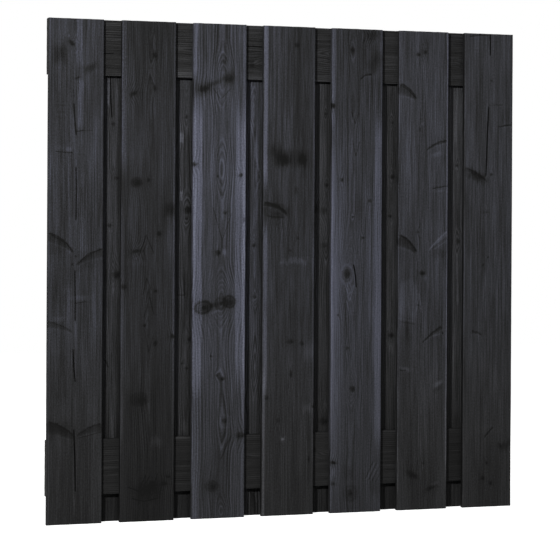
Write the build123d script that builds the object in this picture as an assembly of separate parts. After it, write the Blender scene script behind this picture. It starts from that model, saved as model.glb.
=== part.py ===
"""Double-sided garden fence panel of broad softwood planks.

Two horizontal rails are sandwiched between a front layer and a back layer of upright planks.
The planks of each layer stand a gap apart, and the back planks close the gaps of the front layer.
Every crossing is held by a diagonal pair of countersunk screws driven from the back.

Frame: millimetres, +Z up, +X to the right seen from the front, the front faces -Y.
Origin: bottom centre of the panel, in the middle of the rails' thickness.
"""

from build123d import *
from math import atan2, degrees, radians, tan
import os

# The panel as a whole
panel_width = 1800.0
panel_height = 1800.0

# Upright planks, the same stock in both layers
front_plank_count = 7
plank_width = 200.0
plank_thickness = 20.0
plank_arris = 2.5

# Horizontal rails, the upper one flush with the tops of the planks
rail_width = 200.0
rail_thickness = 20.0
rail_arris = 2.5
bottom_rail_lift = 100.0

# Countersunk wood screws, eight-sided like their holes because there are so many of them
screw_sides = 8
screw_head_diameter = 8.0
screw_head_slope = 45.0
screw_shank_diameter = 4.0
screw_point_length = 5.0
screw_sink = 0.5
screw_tip_cover = 4.5
screw_play = 0.05
drive_sides = 6
drive_width = 3.8
drive_depth = 1.5

# Where the screws of one crossing stand: in from a board's edges, or in from the strip between two planks
screw_edge_inset = 40.0
screw_strip_inset = 13.0

# Places worked out from the sizes above
plank_pitch = (panel_width - plank_width) / (front_plank_count - 1)
front_plank_x = [(i - (front_plank_count - 1) / 2) * plank_pitch for i in range(front_plank_count)]
back_plank_x = [x + plank_pitch / 2 for x in front_plank_x[:-1]]

rail_back_y = rail_thickness / 2
plank_y = (rail_thickness + plank_thickness) / 2
panel_back_y = rail_back_y + plank_thickness

rail_heights = {
    "top_rail": panel_height - rail_width / 2,
    "bottom_rail": bottom_rail_lift + rail_width / 2,
}

open_strip = plank_pitch - plank_width
screw_rise = rail_width - 2 * screw_edge_inset
front_screw_spread = open_strip - 2 * screw_strip_inset
back_screw_spread = plank_width - 2 * screw_edge_inset
screw_length = rail_thickness + plank_thickness - screw_sink - screw_tip_cover


def screw_section(radius):
    """Cross-section of a screw, with the radius to its flats."""
    return RegularPolygon(radius, screw_sides, major_radius=False)


def screw_form(growth, rise):
    """A screw along Z with its point down, grown all round and with its head's cone carried on up to z = rise."""
    slope = tan(radians(screw_head_slope))
    head_radius = screw_head_diameter / 2 + growth + rise * slope
    shank_radius = screw_shank_diameter / 2 + growth
    neck_z = rise - (head_radius - shank_radius) / slope
    point_z = screw_point_length - screw_length
    tip_z = -screw_length - growth
    head = extrude(screw_section(head_radius), neck_z - rise, taper=screw_head_slope)
    shank = extrude(screw_section(shank_radius), point_z - neck_z)
    point = loft([screw_section(shank_radius), Vertex(0, 0, tip_z - point_z)], ruled=True)
    return Pos(0, 0, rise) * head + Pos(0, 0, neck_z) * shank + Pos(0, 0, point_z) * point


def make_screw():
    """One countersunk screw with a drive socket in its head."""
    socket = RegularPolygon(drive_width / 2, drive_sides)
    return screw_form(0, 0) - extrude(socket, -drive_depth)


def make_screw_hole():
    """What the drill takes out for one screw: countersink, shank hole and pilot, open at the face."""
    return screw_form(screw_play, 2 * screw_sink)


def screw_places(x, face_y, spread):
    """Head centres of one plank's screws, a diagonal pair at each rail, looking out of the face."""
    places = []
    for height in rail_heights.values():
        for side in (-1, 1):
            origin = (x + side * spread / 2, face_y - screw_sink, height - side * screw_rise / 2)
            places.append(Plane(origin, x_dir=(1, 0, 0), z_dir=(0, 1, 0)))
    return places


def make_plank(x, y):
    """An upright plank with eased long edges and square-cut ends."""
    section = RectangleRounded(plank_width, plank_thickness, plank_arris)
    return Pos(x, y, 0) * extrude(section, panel_height)


def make_rail(height):
    """A rail as long as the panel is wide, with eased long edges."""
    section = Plane.YZ * RectangleRounded(rail_thickness, rail_width, rail_arris)
    return Pos(0, 0, height) * extrude(section, panel_width / 2, both=True)


# Each layer: the planks' name and places, and the face and spread of their screws
layers = [
    ("front_plank", front_plank_x, -plank_y, rail_back_y, front_screw_spread),
    ("back_plank", back_plank_x, plank_y, panel_back_y, back_screw_spread),
]

screw = make_screw()
screw_hole = make_screw_hole()
nodes = {}
all_holes = []

for layer_name, plank_places, layer_y, screw_face_y, screw_spread in layers:
    for number, plank_x in enumerate(plank_places, start=1):
        name = f"{layer_name}_{number}"
        places = screw_places(plank_x, screw_face_y, screw_spread)
        holes = [place * screw_hole for place in places]
        nodes[name] = make_plank(plank_x, layer_y) - holes
        nodes[f"{name}_screws"] = Compound(children=[place * screw for place in places])
        all_holes += holes

for name, height in rail_heights.items():
    nodes[name] = make_rail(height) - all_holes

os.makedirs("parts", exist_ok=True)
for name, shape in nodes.items():
    export_step(shape, f"parts/{name}.step")
print(len(nodes), "nodes")
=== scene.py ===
"""Looks of a double-sided fence panel of black-stained softwood, laid out as an add-on.

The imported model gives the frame. Every board is rebuilt with eased edges, low relief and drying checks,
every screw with its thread and star drive, and the stain gets the figure of the wood under it.

Boards are described in millimetres on their own face: across from the centre line, up from the foot.
"""

import math
import random
from collections import namedtuple

import bmesh
import bpy
import numpy as np
from bpy.props import FloatProperty, FloatVectorProperty, PointerProperty
from mathutils import Matrix, Vector


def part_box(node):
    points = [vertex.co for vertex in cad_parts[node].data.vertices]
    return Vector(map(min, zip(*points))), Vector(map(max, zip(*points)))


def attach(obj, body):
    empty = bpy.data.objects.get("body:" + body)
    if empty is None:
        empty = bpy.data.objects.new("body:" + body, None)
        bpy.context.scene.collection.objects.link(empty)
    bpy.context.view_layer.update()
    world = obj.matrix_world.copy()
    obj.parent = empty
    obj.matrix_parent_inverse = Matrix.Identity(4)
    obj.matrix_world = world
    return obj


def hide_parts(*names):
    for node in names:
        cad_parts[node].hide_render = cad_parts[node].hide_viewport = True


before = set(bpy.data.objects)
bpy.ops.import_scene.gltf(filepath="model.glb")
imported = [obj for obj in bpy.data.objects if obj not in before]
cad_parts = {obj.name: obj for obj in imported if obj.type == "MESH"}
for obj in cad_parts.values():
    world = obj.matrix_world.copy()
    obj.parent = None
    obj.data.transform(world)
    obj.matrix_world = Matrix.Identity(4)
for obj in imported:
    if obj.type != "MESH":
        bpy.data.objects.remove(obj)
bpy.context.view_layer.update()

bl_info = {
    "name": "Stained fence panel",
    "version": (1, 0, 0),
    "blender": (4, 5, 0),
    "location": "3D View > Sidebar > Fence",
    "description": "Builds the boards, screws and studio of a black-stained fence panel",
    "category": "Object",
}

MM = 0.001
BODY = "root"

# Shading turns hard at edges of more than these angles
WOOD_SHARP = math.radians(38)
STEEL_SHARP = math.radians(32)

# Wood, in grey levels and mm: the end of the colour ramp, and how far up a board's foot is felt
RAMP_END = 130.0
FOOT_REACH = 900.0

# Relief, in mm: the most that it stands out of a face, and the run over which it fades to a board's ends.
# The unevenness of a face is a sum of a few waves
MOST_RELIEF = 0.8
END_FADE = 60
WAVE_COUNT = 5
FULL_TURN = 6.283

# Checks, in mm: how near one line they share it, how far the mesh is bent for them, the mesh's fine strips
# beside that line and the room they need. The last is how dark the painted shade along a check is, in grey
# levels
CHECK_SHARE = 12
CHECK_BEND = 32
CHECK_STRIPS = (3.2, 1.0)
CHECK_ROOM = 4.2
CHECK_SHADE = 60

# Screws: sides of a turned form, the point, the depth of the drive, the play of a hole and the thread
SCREW_SIDES = 24
SCREW_POINT = 5.0 * MM
DRIVE_DEPTH = 1.6 * MM
HOLE_PLAY = 0.05 * MM
THREAD_TURNS = 8
THREAD_STEPS = 10
THREAD_HALF = 0.55 * MM

# The camera, fitted to the photo: its place in metres, its turn and roll in radians
CAMERA_PLACE = (-2.359, -7.049, 1.083)
CAMERA_TURN = -0.3198
CAMERA_ROLL = 0.005416

# What the wood of a board shows. Sizes are half widths and half heights, darkness and gain are in grey levels
Knot = namedtuple("Knot", "across up wide high dark pull turn hollow", defaults=(0, 0))
Swirl = namedtuple("Swirl", "across up wide high pull turn", defaults=(0,))
Spike = namedtuple("Spike", "across up to_across to_up root tip bow dark")
Cloud = namedtuple("Cloud", "across up wide high gain edge turn deep", defaults=(0.3, 0, 1000))
Strip = namedtuple("Strip", "across half low high gain speckle soft", defaults=(0.12, 2.5))
Line = namedtuple("Line", "across up to_across to_up half dark")
Check = namedtuple("Check", "path opening depth", defaults=(1.9, 8.0))

# One board: grey level, pith (across, depth), ring width, its wander, ring contrast, streaks, its features,
# how blue it is, and the shares of the streaks and of the blue that are left at its foot
Figure = namedtuple(
    "Figure", "tone pith depth ring wander contrast streak features blue foot cool",
    defaults=(1.0, 0.5, 0.35),
)

# The first cloud of each front plank darkens its foot: painted shade
FRONT_FIGURES = [
    Figure(45, 0, 7, 6.0, 4, 6.0, 28, [
        Cloud(0, 0, 150, 600, -11, 0), Cloud(0, 1340, 200, 240, 5, 0), Cloud(0, 1700, 200, 260, 4, 0),
        Cloud(0, 740, 200, 200, 3, 0), Strip(11, 11, 1612, 1900, 13, 0.15),
        Strip(17, 11, 1400, 1592, 14, 0.1), Strip(25, 9, 1190, 1400, 6), Strip(24, 2, 1380, 1800, -6),
        Strip(-44, 15, 1715, 1900, 7), Strip(-13, 7, 1320, 1480, 6), Strip(-22, 6, 1100, 1300, 5),
        Strip(5, 32, 960, 1105, 6), Strip(-60, 30, 430, 620, -4), Cloud(-60, 1672, 40, 50, -21, 0),
        Cloud(50, 1628, 48, 20, -18, 0, 30), Cloud(4, 1589, 18, 6, -22, 0, 25),
        Cloud(-50, 1490, 34, 4, -6, 0), Cloud(-50, 1467, 34, 4, -6, 0), Cloud(-48, 1445, 30, 4, -6, 0),
        Cloud(-25, 1335, 16, 11, 17, 0), Cloud(-55, 1340, 30, 14, 6, 0), Cloud(-28, 1737, 8, 7, 14, 0),
        Cloud(-62, 985, 46, 40, -8, 0), Cloud(45, 925, 60, 26, -6, 0, 15), Cloud(-65, 830, 60, 90, -7, 0),
        Cloud(15, 806, 60, 14, 11, 0), Cloud(-25, 832, 36, 26, 6, 0), Cloud(-58, 731, 45, 13, 9, 0),
        Knot(-18, 1713, 14, 7, 28, 2, -40), Knot(0, 953, 4, 4, 18, 0.5), Knot(-10, 925, 4, 4, 16, 0.5),
        Spike(-8, 965, -103, 1022, 4, 18, 10, 16), Spike(5, 922, 103, 966, 3, 17, 6, 14),
        Spike(-8, 680, -103, 712, 3, 12, 6, 11), Spike(-3, 306, -103, 348, 9, 22, 7, 14),
        Cloud(-55, 340, 80, 44, -8, 0), Spike(8, 312, 103, 338, 3, 18, 8, 13),
        Line(-2, 1803, 0, 1735, 1.3, 14), Line(13, 930, 46, 964, 1.9, 13), Line(46, 964, 103, 982, 1.9, 13),
        Line(-12, 970, -32, 1000, 2.0, 14), Line(-32, 1000, -103, 1038, 2.0, 14),
        Line(-10, 1321, -75, 1326, 1.6, 20), Line(0, 1398, 27, 1402, 2.0, 22),
        Line(27, 1402, 60, 1403, 1.4, 9), Line(0, 786, 40, 793, 1.6, 20), Line(10, 306, 98, 326, 1.7, 14),
        Check([(1497, -9), (1440, -5), (1385, 0)]), Check([(1272, 0), (1180, 2), (1083, 1)]),
        Check([(902, -2), (810, 0), (723, 0)]), Check([(622, -7), (560, -4), (508, 1)]),
        Check([(337, -3), (230, 2), (118, 4)]),
    ], 1.2),
    Figure(37.5, 5, 16, 8.0, 9, 5.5, 22, [
        Cloud(0, 0, 150, 600, -12, 0), Cloud(0, 1360, 200, 240, 5, 0), Cloud(0, 430, 200, 220, -3, 0),
        Cloud(0, 1740, 140, 120, -3, 0), Strip(-92, 9, 1228, 1900, 14, 0.25), Strip(-96, 6, 200, 1228, 14),
        Strip(-70, 15, 1250, 1680, 5), Strip(96, 4, 260, 1900, 15), Strip(88, 10, 640, 1090, 5),
        Strip(20, 4, 1690, 1760, 9), Swirl(10, 1790, 30, 90, 2.5), Swirl(8, 1450, 36, 130, 2.5),
        Swirl(2, 700, 26, 110, 3), Cloud(88, 1122, 44, 38, -22, 0), Cloud(80, 1000, 40, 130, 8, 0),
        Cloud(-48, 930, 60, 16, 6, 0), Cloud(-45, 946, 10, 7, 12, 0), Cloud(34, 280, 30, 28, 13, 0),
        Cloud(5, 110, 90, 50, -9, 0), Knot(20, 1677, 9, 9, 22, 1.5), Knot(-58, 1538, 15, 8, 24, 2, 30),
        Knot(20, 1560, 7, 12, 20, 1.5), Knot(-45, 1219, 21, 17, 24, 1, 0, 0.2), Knot(0, 1228, 6, 8, 18, 1),
        Knot(40, 1035, 9, 8, 22, 1.5), Knot(-44, 972, 17, 7, 22, 2, 10), Knot(-90, 845, 11, 9, 22, 1.5),
        Knot(28, 828, 7, 5, 20, 1), Knot(-12, 705, 6, 5, 20, 1), Knot(28, 640, 7, 10, 20, 1.5),
        Knot(93, 665, 9, 8, 24, 1), Knot(-30, 440, 34, 24, 14, 0.6, 0, 0.3), Knot(-22, 432, 10, 9, 12, 0.3),
        Knot(22, 134, 9, 8, 22, 1.0), Knot(4, 120, 6, 6, 18, 0.6), Knot(65, 134, 9, 7, 20, 0.8),
        Knot(78, 158, 8, 6, 18, 0.6), Line(-8, 1030, -34, 955, 1.8, 15), Line(-8, 1030, 22, 962, 1.8, 13),
        Line(-5, 876, -18, 815, 1.8, 16), Line(-5, 876, 12, 832, 1.8, 15), Line(6, 808, -15, 730, 1.7, 13),
        Line(6, 808, 22, 745, 1.7, 13), Line(-12, 690, 4, 608, 1.7, 11), Line(20, 670, 6, 608, 1.7, 11),
        Line(-32, 108, -4, 168, 1.8, 14), Line(-24, 104, 12, 166, 1.8, 13), Line(20, 115, 40, 172, 1.7, 11),
        Line(-72, 126, -26, 108, 2.2, 13), Line(-56, 84, -10, 72, 2.2, 11), Line(-10, 72, 42, 82, 2.2, 11),
    ], 1.2),
    Figure(57, 8, 24, 10.5, 5, 9.0, 26, [
        Cloud(0, 0, 150, 600, -6, 0), Cloud(0, 1740, 140, 180, -8, 0), Cloud(0, 1330, 200, 320, 3, 0),
        Cloud(0, 430, 200, 240, -4, 0), Strip(-83, 18, 400, 1570, 28, 0.14),
        Strip(-88, 13, -100, 560, 11, 0.2, 5), Strip(-97, 7, 900, 1545, 10), Strip(-92, 9, 1590, 1900, 20),
        Strip(80, 19, 420, 1540, 24, 0.14), Strip(92, 7, -100, 520, 9, 0.14, 4),
        Strip(95, 7, 300, 1900, 18), Swirl(16, 1622, 34, 66, 3.5), Swirl(4, 1545, 34, 60, 1.5),
        Swirl(8, 1270, 32, 92, 3.5), Swirl(12, 1090, 30, 80, 0.6), Swirl(8, 815, 40, 74, 3.5),
        Swirl(20, 420, 34, 150, 1.2), Swirl(15, 25, 26, 40, 3), Cloud(15, 1668, 20, 24, -13, 0),
        Cloud(-15, 1586, 55, 14, -17, 0, 22), Cloud(-10, 778, 50, 13, -14, 0, 8),
        Cloud(19, 963, 18, 17, 22, 0), Cloud(5, 150, 60, 330, -8, 0), Cloud(30, 1604, 46, 40, -14, 0, -25),
        Knot(34, 1602, 16, 15, 20, 0.6, -25, 0.2), Cloud(-60, 1561, 62, 36, -17, 0, 8),
        Knot(-64, 1562, 21, 12, 21, 0.5, 12, 0.1), Knot(-8, 1245, 5, 5, 24, 0.3),
        Knot(-95, 1287, 9, 9, 46, 1), Knot(80, 1250, 10, 7, 34, 1, 20), Knot(20, 1112, 7, 8, 26, 0.4),
        Knot(97, 1087, 8, 10, 30, 1), Knot(-5, 967, 10, 10, 32, 0.4), Knot(-60, 768, 32, 22, 36, 2, 8, 1),
        Knot(-58, 767, 9, 7, 22, 0.2), Cloud(-12, 752, 30, 7, 15, 0, 18),
        Knot(8, 782, 24, 22, 14, 0.5, 0, 1), Knot(40, 788, 23, 22, 33, 1.5, 0, 0.7),
        Knot(15, 507, 9, 8, 26, 0.4), Knot(-8, 520, 6, 5, 16, 1), Knot(25, 352, 22, 26, -8, 0.8, 0, 1),
        Knot(23, 354, 8, 10, 26, 0.3), Knot(85, 300, 20, 12, 24, 1.5),
        Knot(-25, 118, 24, 20, 20, 1, 0, 0.3), Knot(-30, 590, 5, 4, 22, 0.5),
        Line(-26, 1565, 2, 1526, 1.8, 13), Line(40, 1565, 4, 1526, 1.8, 13),
        Line(-24, 1130, 10, 1015, 1.8, 16), Line(46, 1110, 12, 1015, 1.8, 15),
        Line(11, 1018, 10, 982, 1.8, 15), Line(-4, 400, 8, 214, 1.7, 13), Line(46, 296, 10, 214, 1.7, 13),
    ], 1.12, 0.5, 0.8),
    Figure(44.5, -130, 10, 5.5, 6, 6.0, 25, [
        Cloud(0, 0, 150, 600, -6, 0), Cloud(0, 1150, 200, 420, 2, 0), Strip(-91, 8, 1165, 1900, 40, 0.1, 5),
        Strip(-91, 7, 400, 1105, 34, 0.1, 5), Strip(-94, 4, -200, 560, 26, 0.1, 4),
        Strip(-74, 5, 1240, 1900, 7), Strip(-60, 5, 1340, 1900, 9), Strip(-40, 6, 1330, 1900, 9),
        Strip(-15, 5, 1400, 1900, 8), Strip(55, 40, 1180, 1900, -3), Strip(97, 4, 100, 1900, 9),
        Strip(80, 2, 90, 410, -9), Strip(20, 2, 50, 360, -9), Cloud(-22, 1316, 62, 46, -23, 0),
        Knot(-20, 1306, 26, 20, 15, 1.0, 0, 0.2), Cloud(-62, 1342, 50, 36, -11, 0),
        Cloud(50, 1314, 40, 46, -21, 0), Knot(50, 1310, 17, 18, 15, 1.0, 0, 0.2),
        Cloud(28, 1196, 12, 22, -13, 0), Cloud(-52, 1121, 22, 9, 9, 0), Cloud(28, 935, 75, 16, 12, 0.3),
        Cloud(-30, 930, 9, 9, 10, 0), Cloud(10, 930, 8, 8, 8, 0), Cloud(82, 600, 34, 54, 14, 0),
        Cloud(78, 396, 40, 26, 11, 0), Cloud(-22, 280, 24, 15, 8, 0), Cloud(-20, 281, 9, 8, 34, 0),
        Knot(28, 1732, 9, 10, 18, 1.5), Knot(5, 975, 6, 5, 14, 1), Knot(35, 1020, 6, 6, 12, 1),
        Knot(8, 640, 12, 10, 19, 1.5), Knot(52, 632, 10, 8, 15, 1.5), Knot(10, 520, 7, 14, 18, 1.5),
        Knot(-85, 435, 10, 8, 16, 1), Knot(-40, 350, 9, 7, 9, 1), Knot(-50, 1120, 46, 26, 14, 2, 0, 0.8),
        Knot(99, 398, 5, 4, 30, 0.5), Knot(82, 205, 4, 12, 16, 0.5),
        Spike(-8, 1106, -99, 1144, 5, 8, 11, 24), Line(-80, 1100, -15, 1096, 2.0, 11),
        Line(5, 790, 12, 650, 1.4, 8),
    ], 1.08),
    Figure(55.5, -20, 18, 8.0, 7, 7.0, 26, [
        Cloud(0, 0, 150, 600, -5, 0), Cloud(0, 1700, 160, 520, -10, 0.2),
        Strip(-96, 5, 190, 1430, 20, 0.1, 4), Cloud(-93, 730, 54, 800, 17, 0.2),
        Strip(-95, 8, 1380, 2000, 22, 0.12, 4), Strip(-96, 5, 0, 170, 8),
        Strip(87, 14, 190, 1530, 23, 0.1, 5), Strip(97, 4, 1450, 1900, 12), Strip(68, 4, 460, 1300, 9),
        Strip(52, 3, 600, 1250, 7), Swirl(-8, 1520, 24, 70, 1.5), Swirl(-30, 880, 26, 70, 2.5),
        Swirl(-15, 455, 26, 50, 1.5), Swirl(55, 1775, 36, 24, 2), Cloud(-78, 1020, 26, 170, 9, 0),
        Cloud(62, 1778, 54, 28, -15, 0), Cloud(70, 1680, 34, 58, -15, 0, -30),
        Cloud(70, 1626, 26, 20, 7, 0), Cloud(-86, 150, 11, 26, 11, 0), Cloud(-30, 150, 42, 42, -7, 0),
        Cloud(82, 92, 42, 44, -7, 0), Cloud(-15, 462, 26, 26, 6, 0.2), Knot(-20, 1720, 9, 12, 22, 1.5),
        Knot(-97, 1512, 9, 9, 46, 1), Knot(-60, 1237, 7, 6, 26, 1), Knot(50, 1160, 7, 6, 22, 1, 30),
        Knot(-15, 1100, 5, 4, 22, 1), Knot(25, 1022, 6, 5, 22, 1), Knot(-38, 886, 25, 36, -14, 2.5, 0, 1),
        Knot(-38, 886, 19, 28, 10, 0, 0, 1), Knot(-38, 888, 12, 17, 30, 0.5, 0, 0.3),
        Knot(-72, 735, 4, 4, 24, 0.5), Knot(-35, 612, 6, 7, 18, 1), Knot(-15, 460, 11, 12, 30, 2),
        Knot(-88, 188, 10, 6, 44, 1, -15), Knot(-90, 110, 8, 7, 20, 1), Knot(-20, 72, 26, 30, 9, 0, 0, 1),
        Knot(-21, 74, 9, 13, 20, 0), Spike(14, 1612, 58, 1630, 2, 3, 7, 20),
        Line(-22, 1490, -8, 1446, 1.8, 14), Line(6, 1490, -8, 1446, 1.8, 13),
        Line(-18, 1382, -5, 1326, 1.8, 14), Line(10, 1382, -5, 1326, 1.8, 13),
        Line(-45, 850, -26, 788, 1.8, -17), Line(-8, 850, -26, 788, 1.8, -17),
        Line(-38, 848, -25, 812, 1.6, -15), Line(-14, 848, -25, 812, 1.6, -15),
        Line(38, 122, 70, 188, 1.8, 12), Line(52, 118, 84, 182, 1.8, 12), Line(66, 114, 98, 172, 1.8, 12),
        Line(80, 110, 104, 152, 1.8, 11), Line(45, 120, 77, 185, 2.0, -9), Line(59, 116, 91, 177, 2.0, -9),
        Check([(922, -12), (900, -7), (872, -3), (838, -1)]),
    ], 1.12, 0.5, 0.8),
    Figure(52, -5, 6, 6.0, 4, 7.0, 28, [
        Cloud(0, 0, 150, 600, -11, 0), Strip(98, 4, 60, 1900, 36, 0.1), Cloud(0, 1350, 200, 620, 4, 0.3),
        Strip(-98, 4, 0, 1900, 7), Strip(-60, 8, 1080, 1480, 5), Cloud(0, 1740, 30, 65, -6),
        Cloud(70, 1560, 30, 180, 5, 0), Cloud(-15, 1430, 8, 10, -16, 0), Cloud(-5, 1452, 9, 10, 12, 0),
        Cloud(52, 1338, 38, 13, 13, 0, 20), Cloud(72, 1395, 28, 16, -7, 0),
        Cloud(70, 1200, 32, 6, 11, 0, 8), Spike(24, 974, 103, 1040, 2, 9, 4, -15),
        Line(40, 976, 103, 1016, 2.0, -9), Cloud(70, 968, 54, 30, -9, 0, 10), Cloud(11, 872, 9, 17, 15, 0),
        Cloud(-60, 790, 40, 82, 8, 0.75), Cloud(-60, 655, 40, 44, -5, 0), Cloud(60, 657, 42, 6, 12, 0, 14),
        Cloud(-70, 530, 38, 11, 15, 0, -12), Cloud(66, 474, 32, 13, 18, 0, 30),
        Cloud(62, 452, 34, 13, -8, 0, 30), Cloud(-55, 350, 45, 350, -4, 0.4),
        Cloud(52, 94, 28, 11, 14, 0, 20), Knot(-23, 1713, 9, 7, 24, 1.5), Knot(5, 1722, 7, 8, 22, 1.5),
        Knot(-20, 1045, 6, 5, 16, 0.8), Knot(-3, 890, 11, 8, 26, 1.5), Knot(-20, 770, 6, 5, 18, 1),
        Knot(82, 663, 5, 4, 26, 0.5), Knot(5, 175, 4, 7, 16, 0.8), Knot(-40, 133, 28, 11, 18, 1.0, -28),
        Knot(38, 82, 24, 8, 17, 0.5, 25), Spike(-32, 1543, -103, 1580, 6, 24, 7, 21),
        Line(-30, 1546, -66, 1580, 2.0, 12), Line(-66, 1580, -103, 1600, 2.0, 10),
        Spike(12, 1350, 95, 1386, 3, 6, 7, 18), Spike(35, 1206, 103, 1217, 1.5, 2, 2, 20),
        Spike(-28, 966, -103, 1014, 6, 24, 6, 22), Line(-26, 972, -62, 1018, 2.0, 12),
        Line(-62, 1018, -100, 1034, 2.0, 10), Spike(0, 627, 78, 684, 2, 7, 3, 19),
        Spike(-65, 523, -95, 527, 1.5, 2, 0, 16), Line(-27, 960, -20, 905, 1.3, 9),
        Line(-98, 710, -28, 698, 3.0, 8), Line(-98, 720, -28, 708, 3.0, -6),
        Line(-20, 905, -27, 860, 1.3, 8), Line(-15, 815, -26, 745, 1.6, -13),
        Line(-15, 815, -4, 745, 1.6, -13), Line(-13, 1500, -10, 1432, 1.2, 9),
        Line(-8, 705, -10, 560, 1.3, 8),
    ], 1.0),
    Figure(50.5, -10, 7, 6.0, 4, 6.0, 26, [
        Cloud(0, 0, 150, 600, -12, 0), Cloud(0, 1350, 200, 240, 4, 0), Strip(-35, 5, 1300, 1900, -5),
        Strip(20, 7, 1200, 1700, 5), Strip(-20, 5, 800, 1250, -4), Strip(35, 6, 400, 1100, 4),
        Cloud(68, 1492, 26, 40, -6), Cloud(55, 230, 18, 16, -13, 0), Cloud(80, 230, 44, 26, -14, 0, 25),
        Cloud(10, 830, 60, 60, 4, 0), Cloud(0, 300, 90, 30, 3, 0), Knot(12, 1622, 4, 4, 18, 0.5),
        Knot(12, 1265, 8, 5, 18, 1), Knot(-10, 1122, 13, 5, 11, 1), Knot(-20, 920, 4, 4, 16, 0.5),
        Knot(0, 950, 5, 4, 16, 0.5), Knot(0, 167, 5, 5, 18, 1), Knot(-18, 110, 9, 8, 17, 1.5),
        Knot(15, 90, 8, 7, 17, 1.5), Spike(0, 1792, -80, 1786, 1.5, 2, 3, 18),
        Spike(40, 1445, 103, 1456, 1.5, 2.5, 0, 20), Spike(0, 1528, 60, 1530, 1, 1.5, 0, 10),
        Spike(-5, 1236, -98, 1284, 3, 7, 6, 12), Cloud(-48, 1256, 66, 27, -25, 0, -28),
        Knot(-45, 1262, 30, 10, 12, 0.3, -28), Spike(-22, 653, -68, 664, 2, 7, 3, 14),
        Spike(-10, 262, 26, 300, 2, 4, 2, 17), Check([(1802, 5), (1760, 6), (1718, 5)]),
        Check([(1522, 0), (1400, -5), (1258, -10)]),
    ], 0.9),
]

BACK_FIGURES = [
    Figure(47, 12, 12, 7.0, 6, 8.0, 24, [
        Strip(-6, 4, 1485, 1600, 20), Strip(24, 6, 1300, 1600, 5), Knot(10, 1429, 7, 6, 16, 1.5),
        Knot(0, 1064, 9, 6, 22, 2), Knot(23, 1235, 12, 7, 12, 2), Knot(26, 887, 16, 14, 22, 3),
        Knot(-60, 640, 18, 14, 22, 3), Knot(60, 1500, 14, 12, 20, 2.5), Cloud(14, 830, 10, 40, 6, 0),
        Spike(-2, 552, -16, 580, 1.5, 3, 0, 18), Check([(1600, 0), (1520, 2), (1455, 6)], 1.6),
    ], 0.8),
    Figure(48, 18, 20, 7.5, 6, 8.0, 24, [
        Swirl(18, 1590, 24, 60, 2.5), Knot(18, 1461, 5, 10, 20, 1.5), Knot(25, 1122, 16, 14, 22, 2.5),
        Knot(20, 1090, 7, 6, 16, 1), Knot(34, 651, 9, 8, 22, 1.5), Knot(6, 563, 4, 4, 20, 0.8),
        Knot(22, 545, 9, 4, 18, 0.8), Knot(-55, 1300, 20, 15, 22, 3), Knot(70, 420, 15, 12, 20, 2.5),
        Strip(0, 7, 1362, 1405, 24), Strip(0, 5, 1150, 1190, 22), Strip(15, 1.5, 808, 905, -16),
        Cloud(14, 330, 18, 40, 9, 0), Spike(15, 810, -12, 812, 1.3, 1.3, 0, 16),
    ], 0.8),
    Figure(56, 14, 16, 8.5, 7, 11.0, 26, [
        Swirl(4, 1490, 20, 70, 2.5), Swirl(12, 900, 24, 100, 3), Swirl(17, 540, 22, 80, 2.5),
        Strip(2, 5, 1380, 1600, 14), Strip(22, 4, 1050, 1400, 10), Knot(11, 994, 9, 7, 24, 2),
        Knot(14, 803, 9, 8, 22, 2.5), Knot(60, 1250, 17, 14, 24, 3), Knot(-62, 420, 16, 12, 22, 3),
        Cloud(18, 800, 18, 16, 14, 0.2),
    ], 1.1),
    Figure(50, 26, 14, 7.0, 6, 8.0, 22, [
        Knot(22, 1484, 7, 5, 18, 1.5), Knot(27, 1218, 9, 7, 16, 2), Knot(16, 1122, 14, 14, 12, 2.5),
        Knot(19, 994, 15, 12, 12, 2.5), Knot(19, 339, 17, 14, 16, 2.5), Knot(-58, 820, 18, 14, 22, 3),
        Knot(-20, 1130, 12, 18, 22, 2), Cloud(28, 395, 12, 20, 8, 0),
    ], 0.6),
    Figure(48, 20, 12, 7.0, 6, 8.0, 22, [
        Knot(20, 1456, 7, 7, 24, 2), Knot(24, 1252, 10, 9, 18, 2), Knot(15, 1104, 7, 6, 20, 1.5),
        Knot(21, 655, 14, 10, 18, 2), Knot(-66, 1420, 16, 13, 22, 3), Cloud(20, 1456, 13, 14, 8, 0),
        Cloud(24, 1080, 9, 16, 8, 0), Cloud(21, 610, 18, 30, 10, 0.2),
    ], 0.5),
    Figure(53, 24, 14, 7.0, 6, 8.0, 22, [
        Knot(20, 1298, 6, 5, 22, 1.5), Knot(28, 1010, 8, 10, 14, 2), Knot(-50, 600, 18, 14, 22, 3),
        Knot(62, 1620, 13, 11, 20, 2), Strip(14, 7, 1370, 1600, 9), Cloud(18, 1290, 12, 14, 9, 0),
        Cloud(20, 330, 24, 50, -9, 0),
    ], 0.5),
]

# Painted shade: how much darker the back planks are drawn where the front planks overlap them
OVERLAP_SHADE = [-14, -14, -14, -11, -5, -2]

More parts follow.
